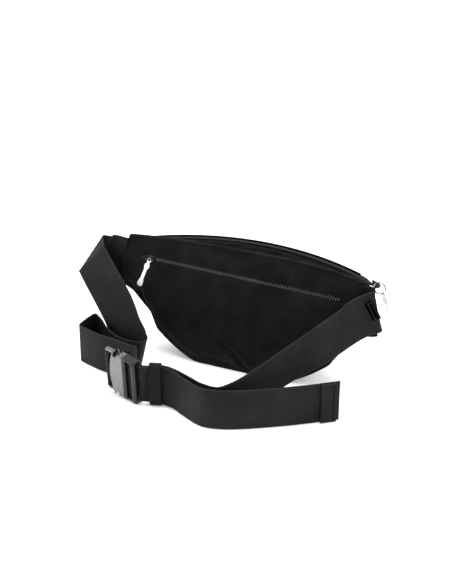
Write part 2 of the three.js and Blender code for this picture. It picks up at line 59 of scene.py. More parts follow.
TOP_MIDDLE, DROP_LEFT, DROP_RIGHT = 154.0, 6.0, 14.0
FLAT_HALF, END_RISE, END_STEP = 58.0, 84.0, 13.0
MIDDLE_DEPTH, END_DEPTH = 88.0, 14.0
GAP = 0.35
LOW = 25.4                      # middle of the webbing when it stands on the ground
WEB_WIDTH, WEB_THICK = 50.0, 1.5

panel_low, panel_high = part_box("back_panel")
ORIGIN = Vector((
    (panel_low[0] + panel_high[0]) / 2,
    panel_low[1],
    panel_low[2] + PANEL * MM * math.sin(LEAN),
))


def placed(p):
    """A point of the bag's frame, in millimetres, in the row frame, in metres."""
    return ORIGIN + Vector(p) * MM


def smoothstep(a, b, x):
    t = min(1.0, max(0.0, (x - a) / (b - a)))
    return t * t * (3 - 2 * t)


def ripple(p, size, seed=0.0):
    """Smooth noise from -1 to 1 with features of about size millimetres."""
    return noise.noise(Vector(p) / size + Vector((seed, 0.7 * seed, -seed)))


# ---------------- the bag's shape, in mm
def end_x(z):
    return HALF_LENGTH + (END_MIDDLE - z) * END_LEAN


def top_z(x):
    drop = DROP_LEFT if x < 0 else DROP_RIGHT
    return TOP_MIDDLE - drop * (abs(x) / HALF_LENGTH) ** 3


def bottom_z(x):
    """The belly's edge rises to a step where the flat ends begin."""
    far = abs(x)
    belly = END_RISE * (max(0.0, far - FLAT_HALF) / 112) ** 1.42
    return belly + END_STEP * smoothstep(114, 127, far) * (1 - 0.75 * smoothstep(148, 172, far))


def front_of_panel(z):
    return z * math.tan(LEAN) + PANEL / math.cos(LEAN) + GAP


def depth_at(x):
    s = min(1.0, abs(x) / HALF_LENGTH)
    return END_DEPTH + (MIDDLE_DEPTH - END_DEPTH) * (1 - s ** 2.2) ** 1.1


# The main zip lies on a circular arc through its two ends and its middle.
ARC_END, ARC_MIDDLE, ARC_HALF_CHORD = (25.0, 137.0), (58.0, 147.5), 158.0
CHAIN_HALF_ANGLE = math.radians(25.8)
ZIP_SHOWN = 10.4
rise = Vector((ARC_MIDDLE[0] - ARC_END[0], ARC_MIDDLE[1] - ARC_END[1]))
ARC_RADIUS = (ARC_HALF_CHORD ** 2 + rise.length ** 2) / (2 * rise.length)
ARC_OUT = rise.normalized()
ARC_CENTRE = Vector((
    0, ARC_MIDDLE[0] - ARC_RADIUS * ARC_OUT.x, ARC_MIDDLE[1] - ARC_RADIUS * ARC_OUT.y))
ARC_UP = Vector((0, -ARC_OUT.y, ARC_OUT.x))


def on_arc(angle, outwards=0.0, above=0.0):
    r = ARC_RADIUS + outwards
    out = r * math.cos(angle)
    return (ARC_CENTRE + Vector((r * math.sin(angle), out * ARC_OUT.x, out * ARC_OUT.y))
            + ARC_UP * above)


def zip_at(x, outwards):
    return on_arc(math.asin(x / (ARC_RADIUS + outwards)), outwards)


def rear_top_point(u, v):
    x = (2 * u - 1) * BODY_HALF
    seam = Vector((x, front_of_panel(top_z(x)) + 1, top_z(x)))
    zip_edge = zip_at(x, -ZIP_SHOWN / 2)
    dome = 12 * v * (1 - v) * (1 - (x / BODY_HALF) ** 2)
    return seam.lerp(Vector((x, zip_edge.y, zip_edge.z)), v) + Vector((0, 0, dome))


def front_section(x):
    """The four control points of the front panel's section at x."""
    zip_edge = zip_at(x, ZIP_SHOWN / 2)
    lowest = bottom_z(x)
    height = zip_edge.z - lowest
    foot = front_of_panel(lowest) + 0.5 * (depth_at(x) - front_of_panel(lowest))
    bulge = (depth_at(x) - 0.125 * (zip_edge.y + foot)) / 0.75
    return (
        Vector((x, zip_edge.y, zip_edge.z)),
        Vector((x, bulge, zip_edge.z - 0.04 * height)),
        Vector((x, bulge, lowest + 0.06 * height)),
        Vector((x, foot, lowest)),
    )


def front_point(u, v):
    a, b, c, d = front_section((2 * u - 1) * BODY_HALF)
    w = 1 - v
    return a * w ** 3 + b * 3 * w * w * v + c * 3 * w * v * v + d * v ** 3


def bottom_point(u, v):
    x = (2 * u - 1) * BODY_HALF
    foot = front_section(x)[3]
    near = Vector((x, front_of_panel(bottom_z(x)) + GAP, bottom_z(x)))
    return Vector((x, foot.y - GAP, foot.z)).lerp(near, v)


def on_panel(x, h, out=0.0):
    """A point of the back panel's plane: h up along it, out of it towards the wearer."""
    return Vector((
        x, h * math.sin(LEAN) - out * math.cos(LEAN), h * math.cos(LEAN) + out * math.sin(LEAN)))


# ---------------- mesh helpers
def new_mesh(name, points, faces, material, uvs=None):
    """A smooth-shaded mesh from points in the bag's frame, and a UV for each, in mm."""
    mesh = bpy.data.meshes.new(name)
    mesh.from_pydata([placed(p) for p in points], [], faces)
    mesh.update()
    for polygon in mesh.polygons:
        polygon.use_smooth = True
    if uvs:
        layer = mesh.uv_layers.new(name="cloth")
        for loop in mesh.loops:
            layer.data[loop.index].uv = uvs[loop.vertex_index]
    mesh.materials.append(material)
    piece = bpy.data.objects.new(name, mesh)
    bpy.context.scene.collection.objects.link(piece)
    return piece


def grid(name, point, columns, rows, material, keep=lambda i, j: True):
    """A sheet from point(u, v), with UVs in mm: along its middle row and across each column."""
    points = [[point(i / columns, j / rows) for j in range(rows + 1)] for i in range(columns + 1)]
    along = [0.0]
    for i in range(columns):
        along.append(along[-1] + (points[i + 1][rows // 2] - points[i][rows // 2]).length)
    uvs = []
    for i, column in enumerate(points):
        across = 0.0
        for j, p in enumerate(column):
            across += (p - column[j - 1]).length if j else 0.0
            uvs.append((along[i], across))

    def at(i, j):
        return i * (rows + 1) + j

    faces = [
        (at(i, j), at(i + 1, j), at(i + 1, j + 1), at(i, j + 1))
        for i in range(columns) for j in range(rows) if keep(i, j)
    ]
    flat = [p for column in points for p in column]
    return new_mesh(name, flat, faces, material, uvs)


def thicken(piece, millimetres, offset=-1.0):
    """Cloth thickness, against the sheet's normals, or along them where offset is 1."""
    solid = piece.modifiers.new("cloth thickness", "SOLIDIFY")
    solid.thickness = millimetres * MM
    solid.offset = offset
    return piece


def smoothed(points, per_span):
    """A Catmull-Rom curve through points, as a denser list."""
    result = []
    count = len(points)
    for k in range(count - 1):
        p0 = points[max(0, k - 1)]
        p1, p2 = points[k], points[k + 1]
        p3 = points[min(count - 1, k + 2)]
        for s in range(per_span):
            t = s / per_span
            result.append(0.5 * (
                2 * p1 + (p2 - p0) * t + (2 * p0 - 5 * p1 + 4 * p2 - p3) * t * t
                + (3 * p1 - p0 - 3 * p2 + p3) * t ** 3))
    result.append(points[-1])
    return result


def directions(path):
    """The direction of path at each of its points."""
    last = len(path) - 1
    return [(path[min(last, k + 1)] - path[max(0, k - 1)]).normalized() for k in range(last + 1)]


def ring_faces(rings, sides):
    """The faces that join rings of points into one bar, with a face on each end."""
    faces = []
    for k in range(rings - 1):
        for s in range(sides):
            a, b = k * sides + s, k * sides + (s + 1) % sides
            faces.append((a, b, b + sides, a + sides))
    faces.append(tuple(reversed(range(sides))))
    faces.append(tuple(range((rings - 1) * sides, rings * sides)))
    return faces


def tube(name, path, radius, material, sides=8):
    """A round tube along path, closed at both ends."""
    points, uvs = [], []
    length = 0.0
    for k, (p, tangent) in enumerate(zip(path, directions(path))):
        side = tangent.cross(Vector((0, 0.2, 1))).normalized()
        up = side.cross(tangent)
        length += (p - path[max(0, k - 1)]).length
        for s in range(sides):
            angle = 2 * math.pi * s / sides
            points.append(p + side * radius * math.cos(angle) + up * radius * math.sin(angle))
            uvs.append((length, radius * angle))
    return new_mesh(name, points, ring_faces(len(path), sides), material, uvs)


def evenly(path, pitch):
    """(point, direction) every pitch millimetres along path."""
    result = []
    carried = 0.0
    for a, b in zip(path, path[1:]):
        span = (b - a).length
        if span < 1e-6:
            continue
        while carried <= span:
            result.append((a.lerp(b, carried / span), (b - a) / span))
            carried += pitch
        carried -= span
    return result


def bead(centre, direction, up, length, width, height):
    """Points and faces of a rounded bar: a stitch, a zip tooth or a rib."""
    side = direction.cross(up).normalized()
    lift = side.cross(direction).normalized()
    rings = [(-0.5, 0.35), (-0.38, 0.85), (0.0, 1.0), (0.38, 0.85), (0.5, 0.35)]
    sides = 8
    points = []
    for along, share in rings:
        for s in range(sides):
            angle = 2 * math.pi * s / sides
            points.append(
                centre + direction * length * along
                + side * width / 2 * share * math.cos(angle)
                + lift * height / 2 * share * math.sin(angle))
    return points, ring_faces(len(rings), sides)


def beads(name, places, material, length, width, height):
    """One mesh of many rounded bars; places are (centre, direction, up)."""
    points, faces = [], []
    for centre, direction, up in places:
        p, f = bead(centre, direction, up, length, width, height)
        faces += [tuple(i + len(points) for i in face) for face in f]
        points += p
    return new_mesh(name, points, faces, material)


def stitches(name, path, up, length=2.4, pitch=3.4):
    """A line of sewing thread along path, lying on a surface whose normal is up."""
    places = [(p, direction, up) for p, direction in evenly(path, pitch)]
    return beads(name, places, thread, length, 0.55, 0.5)


def settle(piece, body, slot, *nodes):
    """The piece rides on the body and stands for the nodes; slot is not used."""
    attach(piece, body)
    if nodes:
        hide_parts(*nodes)


def sew(piece, *nodes):
    """Pack cloth or its sewing: it rides on the bag."""
    settle(piece, "bag", "bag_nylon", *nodes)


# ---------------- materials
class Shader:
    """A material and short ways to add and join its nodes."""

    def __init__(self, name, colour, roughness, **sockets):
        self.material = bpy.data.materials.new(name)
        self.material.use_nodes = True
        self.nodes = self.material.node_tree.nodes
        self.links = self.material.node_tree.links
        self.surface = self.nodes["Principled BSDF"]
        self.surface.inputs["Base Color"].default_value = (*colour, 1)
        self.surface.inputs["Roughness"].default_value = roughness
        for socket, value in sockets.items():
            self.surface.inputs[socket.replace("_", " ")].default_value = value

    def add(self, kind, **inputs):
        node = self.nodes.new(kind)
        for socket, value in inputs.items():
            self.feed(node.inputs[socket.replace("_", " ")], value)
        return node

    def feed(self, socket, value):
        if isinstance(value, bpy.types.NodeSocket):
            self.links.new(value, socket)
        else:
            socket.default_value = value

    def math(self, operation, a, b=0.0):
        node = self.nodes.new("ShaderNodeMath")
        node.operation = operation
        self.feed(node.inputs[0], a)
        self.feed(node.inputs[1], b)
        return node.outputs[0]

    def uv(self):
        """The cloth's own coordinates, in millimetres: along it and across it."""
        node = self.nodes.new("ShaderNodeUVMap")
        node.uv_map = "cloth"
        split = self.add("ShaderNodeSeparateXYZ", Vector=node.outputs[0])
        return split.outputs[0], split.outputs[1]

    def wave(self, coordinate, period):
        """A sine from 0 to 1 with that period. The node adds its third input, which is 0.5."""
        turned = self.math("MULTIPLY", coordinate, 2 * math.pi / period)
        return self.math("MULTIPLY_ADD", self.math("SINE", turned), 0.5)

    def object_noise(self, scale, detail=3.0):
        """Noise in object space, so that it doesn't depend on UVs; scale is per metre."""
        place = self.nodes.new("ShaderNodeTexCoord")
        node = self.add("ShaderNodeTexNoise", Vector=place.outputs["Object"],
                        Scale=scale, Detail=detail)
        return node.outputs[0]

    def colour_by(self, factor, low, high, dark, light):
        """The surface's colour goes from dark to light as factor goes from low to high."""
        node = self.nodes.new("ShaderNodeValToRGB")
        node.color_ramp.elements[0].position = low
        node.color_ramp.elements[0].color = (*dark, 1)
        node.color_ramp.elements[1].position = high
        node.color_ramp.elements[1].color = (*light, 1)
        self.links.new(factor, node.inputs[0])
        self.links.new(node.outputs[0], self.surface.inputs["Base Color"])

    def roughness_by(self, factor, low, high):
        """The surface's roughness goes from low to high as factor goes from 0 to 1."""
        node = self.nodes.new("ShaderNodeMapRange")
        node.inputs["To Min"].default_value = low
        node.inputs["To Max"].default_value = high
        self.links.new(factor, node.inputs[0])
        self.links.new(node.outputs[0], self.surface.inputs["Roughness"])

    def bump(self, *layers):
        """Each layer is (height, depth in mm); they add up."""
        normal = None
        for height, depth in layers:
            node = self.add("ShaderNodeBump", Height=height, Distance=depth * MM)
            if normal:
                self.links.new(normal, node.inputs["Normal"])
            normal = node.outputs[0]
        self.links.new(normal, self.surface.inputs["Normal"])


def nylon_cloth(name, dark, light, roughness, thread_mm=0.75, crinkle=0.35, shine=0.07):
    """Woven pack cloth: crossed threads, fine crinkles, and paler rubbed patches."""
    shader = Shader(name, dark, roughness, Sheen_Weight=0.01, Sheen_Roughness=0.45,
                    Specular_IOR_Level=shine)
    u, v = shader.uv()
    weave = shader.math("MULTIPLY", shader.wave(u, thread_mm), shader.wave(v, thread_mm))
    rubbed = shader.object_noise(38.0, 5.0)
    shader.colour_by(rubbed, 0.36, 0.72, dark, light)
    shader.roughness_by(rubbed, roughness + 0.08, roughness - 0.1)
    shader.bump((shader.object_noise(150.0, 4.0), crinkle), (weave, 0.12))
    return shader.material


WEB_UV_MIDDLE = 100.0           # the across UV of the webbing's middle
TWILL_MM, TWILL_SLOPE, CORD_MM = 2.3, 0.45, 1.1
SELVEDGE_FROM = 23.2            # from the webbing's middle


def webbing_cloth(name, dark, light):
    """Belt webbing: a steep diagonal twill over fine cords, soft patches of painted sheen and shade,
    and a painted highlight along the selvedge.
    """
    shader = Shader(name, dark, 0.5, Sheen_Weight=0.01, Sheen_Roughness=0.4,
                    Specular_IOR_Level=0.085)
    u, v = shader.uv()
    cords = shader.wave(v, CORD_MM)
    twill = shader.wave(shader.math("ADD", u, shader.math("MULTIPLY", v, TWILL_SLOPE)), TWILL_MM)
    woven = shader.math("ADD", shader.math("MULTIPLY", cords, 0.3),
                        shader.math("MULTIPLY", twill, 0.7))
    middle = shader.math("SUBTRACT", v, WEB_UV_MIDDLE)
    # the selvedge is painted paler along both edges: a painted highlight where the raised edge catches
    # light
    selvedge = shader.math("GREATER_THAN", shader.math("ABSOLUTE", middle), SELVEDGE_FROM)
    # painted sheen and shade: soft lighter and darker patches in the webbing's colour, standing in for
    # the light its curves catch
    painted_sheen_patches = shader.math("MULTIPLY", shader.object_noise(24.0, 4.0), 0.7)
    tone = shader.math("ADD", shader.math("MULTIPLY", woven, 0.45), painted_sheen_patches)
    tone = shader.math("ADD", tone, shader.math("MULTIPLY", selvedge, 0.3))
    shader.colour_by(tone, 0.3, 1.0, dark, light)
    shader.bump((shader.object_noise(110.0, 3.0), 0.15), (woven, 0.28))
    return shader.material


def ribbed_elastic(name, dark, light):
    """Elastic: close round ribs that run along it, over a fine cross thread."""
    shader = Shader(name, dark, 0.8, Sheen_Weight=0.02, Sheen_Roughness=0.5,
                    Specular_IOR_Level=0.1)
    u, v = shader.uv()
    woven = shader.math("ADD", shader.math("MULTIPLY", shader.wave(v, 2.1), 0.75),
                        shader.math("MULTIPLY", shader.wave(u, 0.9), 0.25))
    shader.colour_by(woven, 0.1, 0.9, dark, light)
    shader.bump((woven, 0.35))
    return shader.material


def moulded_plastic(name, colour, roughness):
    """Glossy moulded plastic with a fine grain, slight sink marks and rubbed patches."""
    shader = Shader(name, colour, roughness, Specular_IOR_Level=0.4)
    cloudy = shader.object_noise(55.0, 3.0)
    fine = shader.object_noise(1400.0, 2.0)
    lighter = tuple(1.6 * c for c in colour)
    shader.colour_by(cloudy, 0.3, 0.8, colour, lighter)
    shader.roughness_by(cloudy, roughness - 0.06, roughness + 0.12)
    shader.bump((cloudy, 0.12), (fine, 0.05))
    return shader.material


def plated_metal(name, colour, roughness, metallic=1.0):
    """Die-cast metal, plated or enamelled, with tiny pits and dulled patches."""
    shader = Shader(name, colour, roughness, Metallic=metallic)
    dulled = shader.object_noise(220.0, 4.0)
    pits = shader.object_noise(1800.0, 2.0)
    darker = tuple(0.82 * c for c in colour)
    shader.colour_by(dulled, 0.3, 0.7, darker, colour)
    shader.roughness_by(dulled, roughness + 0.12, roughness - 0.05)
    shader.bump((pits, 0.04))
    return shader.material


nylon = nylon_cloth("pack nylon", (0.002, 0.002, 0.0021), (0.006, 0.006, 0.0063), 0.6)
# a darker, duller copy of the pack nylon for the top strip and the main zip's lips: painted shade on
# the top, which the overhead light would leave lighter
shaded_top_nylon = nylon_cloth("shaded top nylon", (0.001, 0.001, 0.001), (0.004, 0.004, 0.0042), 0.8, shine=0.015)
# the blackest cloth: the side tab, whose black is partly its own and partly painted shadow beside it,
# and the hem's black stitches
black_tape_and_tab_shadow = nylon_cloth("black tape and painted tab shadow", (0.0005, 0.0005, 0.0005), (0.002, 0.002, 0.0021), 0.9, 0.6, 0.1,
                        shine=0.01)
lining_cloth = nylon_cloth("lining", (0.006, 0.006, 0.007), (0.012, 0.012, 0.013), 0.75, 0.5, 0.2)
zip_tape = nylon_cloth("zip tape", (0.003, 0.003, 0.0035), (0.006, 0.006, 0.0063), 0.75, 0.6, 0.08,
                       shine=0.02)
# binding tape, paler than the pack nylon: along the back slit's lips this paler tone is painted
# highlight, and the bound seams share it
binding = nylon_cloth("binding tape", (0.004, 0.004, 0.0042), (0.010, 0.010, 0.0105), 0.66, 0.9, 0.2)
webbing = webbing_cloth("belt webbing", (0.001, 0.001, 0.0011), (0.019, 0.019, 0.0196))
elastic = ribbed_elastic("ribbed elastic", (0.001, 0.001, 0.0011), (0.012, 0.012, 0.0125))
thread = nylon_cloth("sewing thread", (0.008, 0.008, 0.0085), (0.018, 0.018, 0.019), 0.5, 0.3, 0.05)
# two copies of one zip coil: the back zip's is painted lighter, as painted highlights on its teeth;
# the main zip's darker copy is painted shade on the top
coil = moulded_plastic("zip coil", (0.07, 0.07, 0.073), 0.22)
shaded_top_coil = moulded_plastic("top zip coil", (0.015, 0.015, 0.016), 0.4)
gunmetal = plated_metal("gunmetal", (0.2, 0.203, 0.196), 0.3)
buckle_plastic = moulded_plastic("buckle acetal", (0.005, 0.0051, 0.0054), 0.3)
bright = plated_metal("bright plate", (0.95, 0.95, 0.95), 0.3, metallic=0.2)
pale_thread = nylon_cloth("pale thread", (0.03, 0.03, 0.031), (0.06, 0.06, 0.062), 0.6, 0.3, 0.05)
dark_gunmetal = plated_metal("dark gunmetal", (0.03, 0.03, 0.031), 0.2)
ring_steel = plated_metal("ring steel", (0.2, 0.2, 0.205), 0.12)
enamel = plated_metal("black enamel", (0.05, 0.05, 0.055), 0.3)


# ---------------- camera, lights and floor
def look(name, place, target, data):
    """A camera or light at a place, turned to look at its target."""
    thing = bpy.data.objects.new(name, data)
    thing.location = place
    thing.rotation_euler = (Vector(target) - Vector(place)).to_track_quat("-Z", "Y").to_euler()
    bpy.context.scene.collection.objects.link(thing)
    return thing


def set_camera():
    azimuth, elevation, distance = math.radians(26), math.radians(24), 1.5
    target = placed((-31.9, 28.8, 89.5))
    back = Vector((
        math.sin(azimuth) * math.cos(elevation),
        -math.cos(azimuth) * math.cos(elevation),
        math.sin(elevation),
    ))
    data = bpy.data.cameras.new("camera")
    data.lens = 75
    data.sensor_width = 36
    bpy.context.scene.camera = look("camera", target + back * distance, target, data)


def area_light(name, place, size, power):
    data = bpy.data.lights.new(name, "AREA")
    data.shape = "DISK"
    data.size = size
    data.energy = power
    look(name, place, (0, 0, 0.06), data)


def set_studio():
    """Three soft lights in a white room, with no tone curve over the picture."""
    area_light("overhead", (-0.1, 0.15, 1.9), 1.5, 26)
    area_light("left", (-1.7, -0.9, 1.1), 1.1, 17)
    area_light("right", (1.6, -0.8, 1.2), 0.9, 15)
    world = bpy.data.worlds.new("studio")
    world.use_nodes = True
    background = world.node_tree.nodes["Background"].inputs
    background["Color"].default_value = (1, 1, 1, 1)
    background["Strength"].default_value = 1.0
    bpy.context.scene.world = world
    bpy.context.scene.view_settings.view_transform = "Standard"


def make_floor():
    """White paper that glows slightly, which pales the shadows on it."""
    half = 6.0
    mesh = bpy.data.meshes.new("floor")
    mesh.from_pydata([(-half, -half, 0), (half, -half, 0), (half, half, 0), (-half, half, 0)],
                     [], [(0, 1, 2, 3)])
    paper = Shader("paper floor", (0.93, 0.93, 0.93), 0.9, Specular_IOR_Level=0.1,
                   Emission_Color=(1, 1, 1, 1), Emission_Strength=0.22)
    paper.bump((paper.object_noise(90.0), 0.05))
    mesh.materials.append(paper.material)
    floor = bpy.data.objects.new("floor", mesh)
    bpy.context.scene.collection.objects.link(floor)


# ---------------- back panel and its zip
ZIP_LEFT, ZIP_RIGHT = Vector((-133.0, 125.0)), Vector((122.0, 118.0))
ZIP_SLOT = 7.0
ZIP_WAY = (ZIP_RIGHT - ZIP_LEFT).normalized()
ZIP_ACROSS = Vector((-ZIP_WAY.y, ZIP_WAY.x))
ZIP_LENGTH = (ZIP_RIGHT - ZIP_LEFT).length


def zip_height(x):
    return ZIP_LEFT.y + (x - ZIP_LEFT.x) * (ZIP_RIGHT.y - ZIP_LEFT.y) / (ZIP_RIGHT.x - ZIP_LEFT.x)


def reach(height):
    """How far out an edge at height(x) gets before it meets the end seam."""
    x = HALF_LENGTH
    for _ in range(8):
        x = end_x(height(x))
    return x


BOTTOM_REACH, TOP_REACH = reach(bottom_z), reach(top_z)
# Folds of the slack cloth: (x, height) of both ends, depth and half width, in mm.
FOLDS = (
    ((-34, 38), (-8, 26), 2.6, 3.4), ((-8, 26), (12, 4), 3.0, 3.6),
    ((-50, 13), (-14, 7), 1.6, 3.0), ((-141, 84), (-134, 58), 1.8, 3.0),
    ((58, 30), (30, 6), 1.3, 4.5), ((92, 58), (84, 34), 1.0, 5.0),
    ((-158, 140), (-160, 100), 1.1, 2.2), ((-150, 138), (-155, 96), 0.8, 2.0),
    ((-104, 62), (-88, 38), 1.0, 4.0), ((150, 126), (156, 96), 0.9, 2.6),
)


def fold_depth(x, h):
    """How far the folds pull the cloth in at a place on the panel; each has a lip beside it."""
    total = 0.0
    here = Vector((x, h))
    for start, end, depth, width in FOLDS:
        a, b = Vector(start), Vector(end)
        t = min(1.0, max(0.0, (here - a).dot(b - a) / (b - a).length_squared))
        distance = (here - a.lerp(b, t)).length / width
        fade = 0.35 + 0.65 * math.sin(math.pi * t) ** 0.6
        total += depth * fade * (math.exp(-distance ** 2) - 0.45 * math.exp(-(distance - 2) ** 2))
    return total


def panel_swell(x, h, from_edge):
    """How far the padded panel stands out of its plane."""
    crown = 3.4 * (1 - math.exp(-from_edge / 9))
    sag = 2.4 * math.exp(-((h - 34) / 26) ** 2) * math.exp(-(x / 95) ** 2)
    near_zip = math.exp(-((h - zip_height(x)) / 7) ** 2)
    crinkle = 1.3 * ripple((x, h, 0), 34) + 0.6 * ripple((x, h, 5), 13, 3.0)
    pucker = 0.5 * ripple((2.2 * x, h * 0.4, 0), 7, 9.0) * math.exp(-from_edge / 10)
    padding = (crown + sag + crinkle) * (1 - 0.75 * near_zip) * smoothstep(0, 14, from_edge)
    return padding + pucker - fold_depth(x, h) * smoothstep(0, 8, from_edge) + 0.2


PANEL_COLUMNS = 220
ROWS_BELOW, ROWS_ABOVE = 74, 22
CLOSED_HALF_SLOT = 0.25         # half the gap between the rows past the slit's ends


def panel_point(u, row):
    """A point of the panel's outer face; the rows split at the zip's slit."""
    s = 2 * u - 1
    low = Vector((BOTTOM_REACH * s, bottom_z(BOTTOM_REACH * s) / math.cos(LEAN)))
    high = Vector((TOP_REACH * s, top_z(TOP_REACH * s) / math.cos(LEAN)))
    height = high.y - low.y
    x = low.lerp(high, 0.75).x
    middle = (zip_height(x) - low.y) / height
    inside = smoothstep(ZIP_LEFT.x - 5, ZIP_LEFT.x + 1, x) * smoothstep(
        -ZIP_RIGHT.x - 5, -ZIP_RIGHT.x + 1, -x)
    half_slot = (CLOSED_HALF_SLOT + (ZIP_SLOT / 2 - CLOSED_HALF_SLOT) * inside) / height
    if row <= ROWS_BELOW:
        t = (middle - half_slot) * row / ROWS_BELOW
    else:
        t = middle + half_slot + (1 - middle - half_slot) * (row - ROWS_BELOW - 1) / ROWS_ABOVE
    place = low.lerp(high, t)
    from_edge = min(t * height, (1 - t) * height, (TOP_REACH - abs(s) * TOP_REACH))
    return on_panel(place.x, place.y, panel_swell(place.x, place.y, from_edge))


def make_back_panel():
    rows = ROWS_BELOW + 1 + ROWS_ABOVE
    slit_from = (ZIP_LEFT.x + TOP_REACH) / (2 * TOP_REACH)
    slit_to = (ZIP_RIGHT.x + TOP_REACH) / (2 * TOP_REACH)

    def keep(i, j):
        middle = (i + 0.5) / PANEL_COLUMNS
        return j != ROWS_BELOW or not slit_from < middle < slit_to

    piece = grid("back_panel_padded", lambda u, v: panel_point(u, round(v * rows)),
                 PANEL_COLUMNS, rows, nylon, keep)
    thicken(piece, PANEL - 0.2)
    sew(piece, "back_panel")


def beside_slit(side, gap, out):
    """A line along one side of the slit, gap mm past its edge and out of the cloth."""
    path = []
    for k in range(121):
        flat = ZIP_LEFT + ZIP_WAY * ZIP_LENGTH * k / 120
        flat += ZIP_ACROSS * side * (ZIP_SLOT / 2 + gap)
        path.append(on_panel(flat.x, flat.y, panel_swell(flat.x, flat.y, 14) + out))
    return path


def leaning_tooth(centre, across, forwards, way, up):
    """The place of one tooth, which leans forwards or back as way is 1 or -1."""
    return centre, (across + 0.18 * way * forwards).normalized(), up


def make_back_zip():
    """Two tapes, two rows of teeth, their cords, and the sewn lips of the slit."""
    sink = 1.0                  # how far the zip lies behind the panel's plane
    past_end = 5.0              # how far the tapes run on past each end of the slit
    pitch, first_tooth = 1.8, -4.0

    def along(distance, across=0.0, out=0.0):
        flat = ZIP_LEFT + ZIP_WAY * distance + ZIP_ACROSS * across
        return on_panel(flat.x, flat.y, out - sink)

    for name, way in (("back_zip_tape_upper", 1), ("back_zip_tape_lower", -1)):
        def point(u, v, way=way):
            distance = ZIP_LENGTH * u + 2 * past_end * (u - 0.5)
            return along(distance, way * (0.15 + 4.6 * v), 0.25 - 1.0 * v * v)

        tape = thicken(grid(name, point, 120, 6, zip_tape), 0.5)
        settle(tape, "bag", "zip_coil", *(["back_zip_chain"] if way > 0 else []))
    normal = on_panel(0, 0, 1)
    across = (along(0, 1) - along(0)).normalized()
    forwards = (along(1) - along(0)).normalized()
    teeth = []
    for k in range(int((ZIP_LENGTH - 2 * first_tooth) / pitch)):
        way = 1 if k % 2 else -1
        centre = along(k * pitch + first_tooth, 1.15 * way, 0.75)
        teeth.append(leaning_tooth(centre, across, forwards, way, normal))
    settle(beads("back_zip_coil", teeth, coil, 2.9, 1.5, 1.4), "bag", "zip_coil")
    for name, across_mm in (("back_zip_cord_upper", 2.7), ("back_zip_cord_lower", -2.7)):
        path = [along(2 + (ZIP_LENGTH - 4) * k / 60, across_mm, 1.05) for k in range(61)]
        settle(stitches(name, path, normal, 1.1, 1.5), "bag", "zip_coil")
    for name, side in (("back_slit_stitch_upper", 1), ("back_slit_stitch_lower", -1)):
        sew(stitches(name, beside_slit(side, 2.2, 0.1), normal))
    # the lips' binding tape is paler than the pack nylon: a painted highlight along the slit
    for name, side in (("back_slit_lip_upper", 1), ("back_slit_lip_lower", -1)):
        sew(tube(name, beside_slit(side, 0.2, -0.35), 1.0, binding))


# ---------------- the other panels
def make_panels():
    """The top, the far side and the belly as slack sheets, and the two flat ends."""
    def rear(u, v):
        slack = math.sin(math.pi * v) * (1.6 * ripple((300 * u, 40 * v, 0), 42, 4)
                                         + 0.7 * ripple((300 * u, 40 * v, 0), 14, 8))
        return rear_top_point(u, v) + Vector((0, 0, slack - 0.2))

    def front(u, v):
        calm = math.sin(math.pi * v) ** 0.5 * math.sin(math.pi * u) ** 0.3
        p = front_point(u, v)
        slack = 2.6 * ripple(p, 52, 2) + 1.2 * ripple(p, 20, 6)
        crease = 0.9 * math.exp(-((v - 0.62 - 0.05 * math.sin(9 * u)) / 0.03) ** 2)
        return p + Vector((0, 1, 0)) * calm * (slack - crease)

    def bottom(u, v):
        calm = math.sin(math.pi * v)
        p = bottom_point(u, v)
        lift = 0.8 * calm * abs(ripple(p, 30, 3)) + 1.1
        return p + Vector((0, 0, lift))

    top = thicken(grid("top_panel_soft", rear, 150, 22, shaded_top_nylon), 1.4)
    sew(top, "top_panel_rear")
    sew(thicken(grid("front_panel_soft", front, 160, 70, nylon), 1.6), "front_panel")
    sew(thicken(grid("bottom_panel_soft", bottom, 140, 14, nylon), 1.4, 1.0), "bottom_panel")
    for node, side in (("wing_left", -1), ("wing_right", 1)):
        wing = grid(node + "_soft", lambda u, v: wing_point(side, u, v), 16, 56, nylon)
        sew(wing, node)


def wing_point(side, u, v):
    """The outside of a flat end: a closed section round the folded cloth."""
    inner, outer = BODY_HALF - 1, HALF_LENGTH - 1
    x = inner + (outer - inner) * u
    droop = 3.6 * smoothstep(0.3, 0.9, u) if side > 0 else 0.0
    high, lowest = top_z(side * x) - 1.5 - 4 * u, bottom_z(x) + 0.8 - droop
    angle = 2 * math.pi * v
    z = (high + lowest) / 2 - (high - lowest) / 2 * math.cos(angle)
    deep = (depth_at(x) - front_of_panel(z)) * abs(math.sin(angle)) ** 0.6
    y = front_of_panel(z) + (max(0.0, deep) if v < 0.5 else 0.0)
    place = Vector((side * (x + (END_MIDDLE - z) * END_LEAN * u), y, z))
    crumple = 1.2 * ripple((place.x, place.y, 0.25 * place.z), 9, 5)
    return place + Vector((0, crumple * math.sin(math.pi * u) if v < 0.5 else 0, 0))


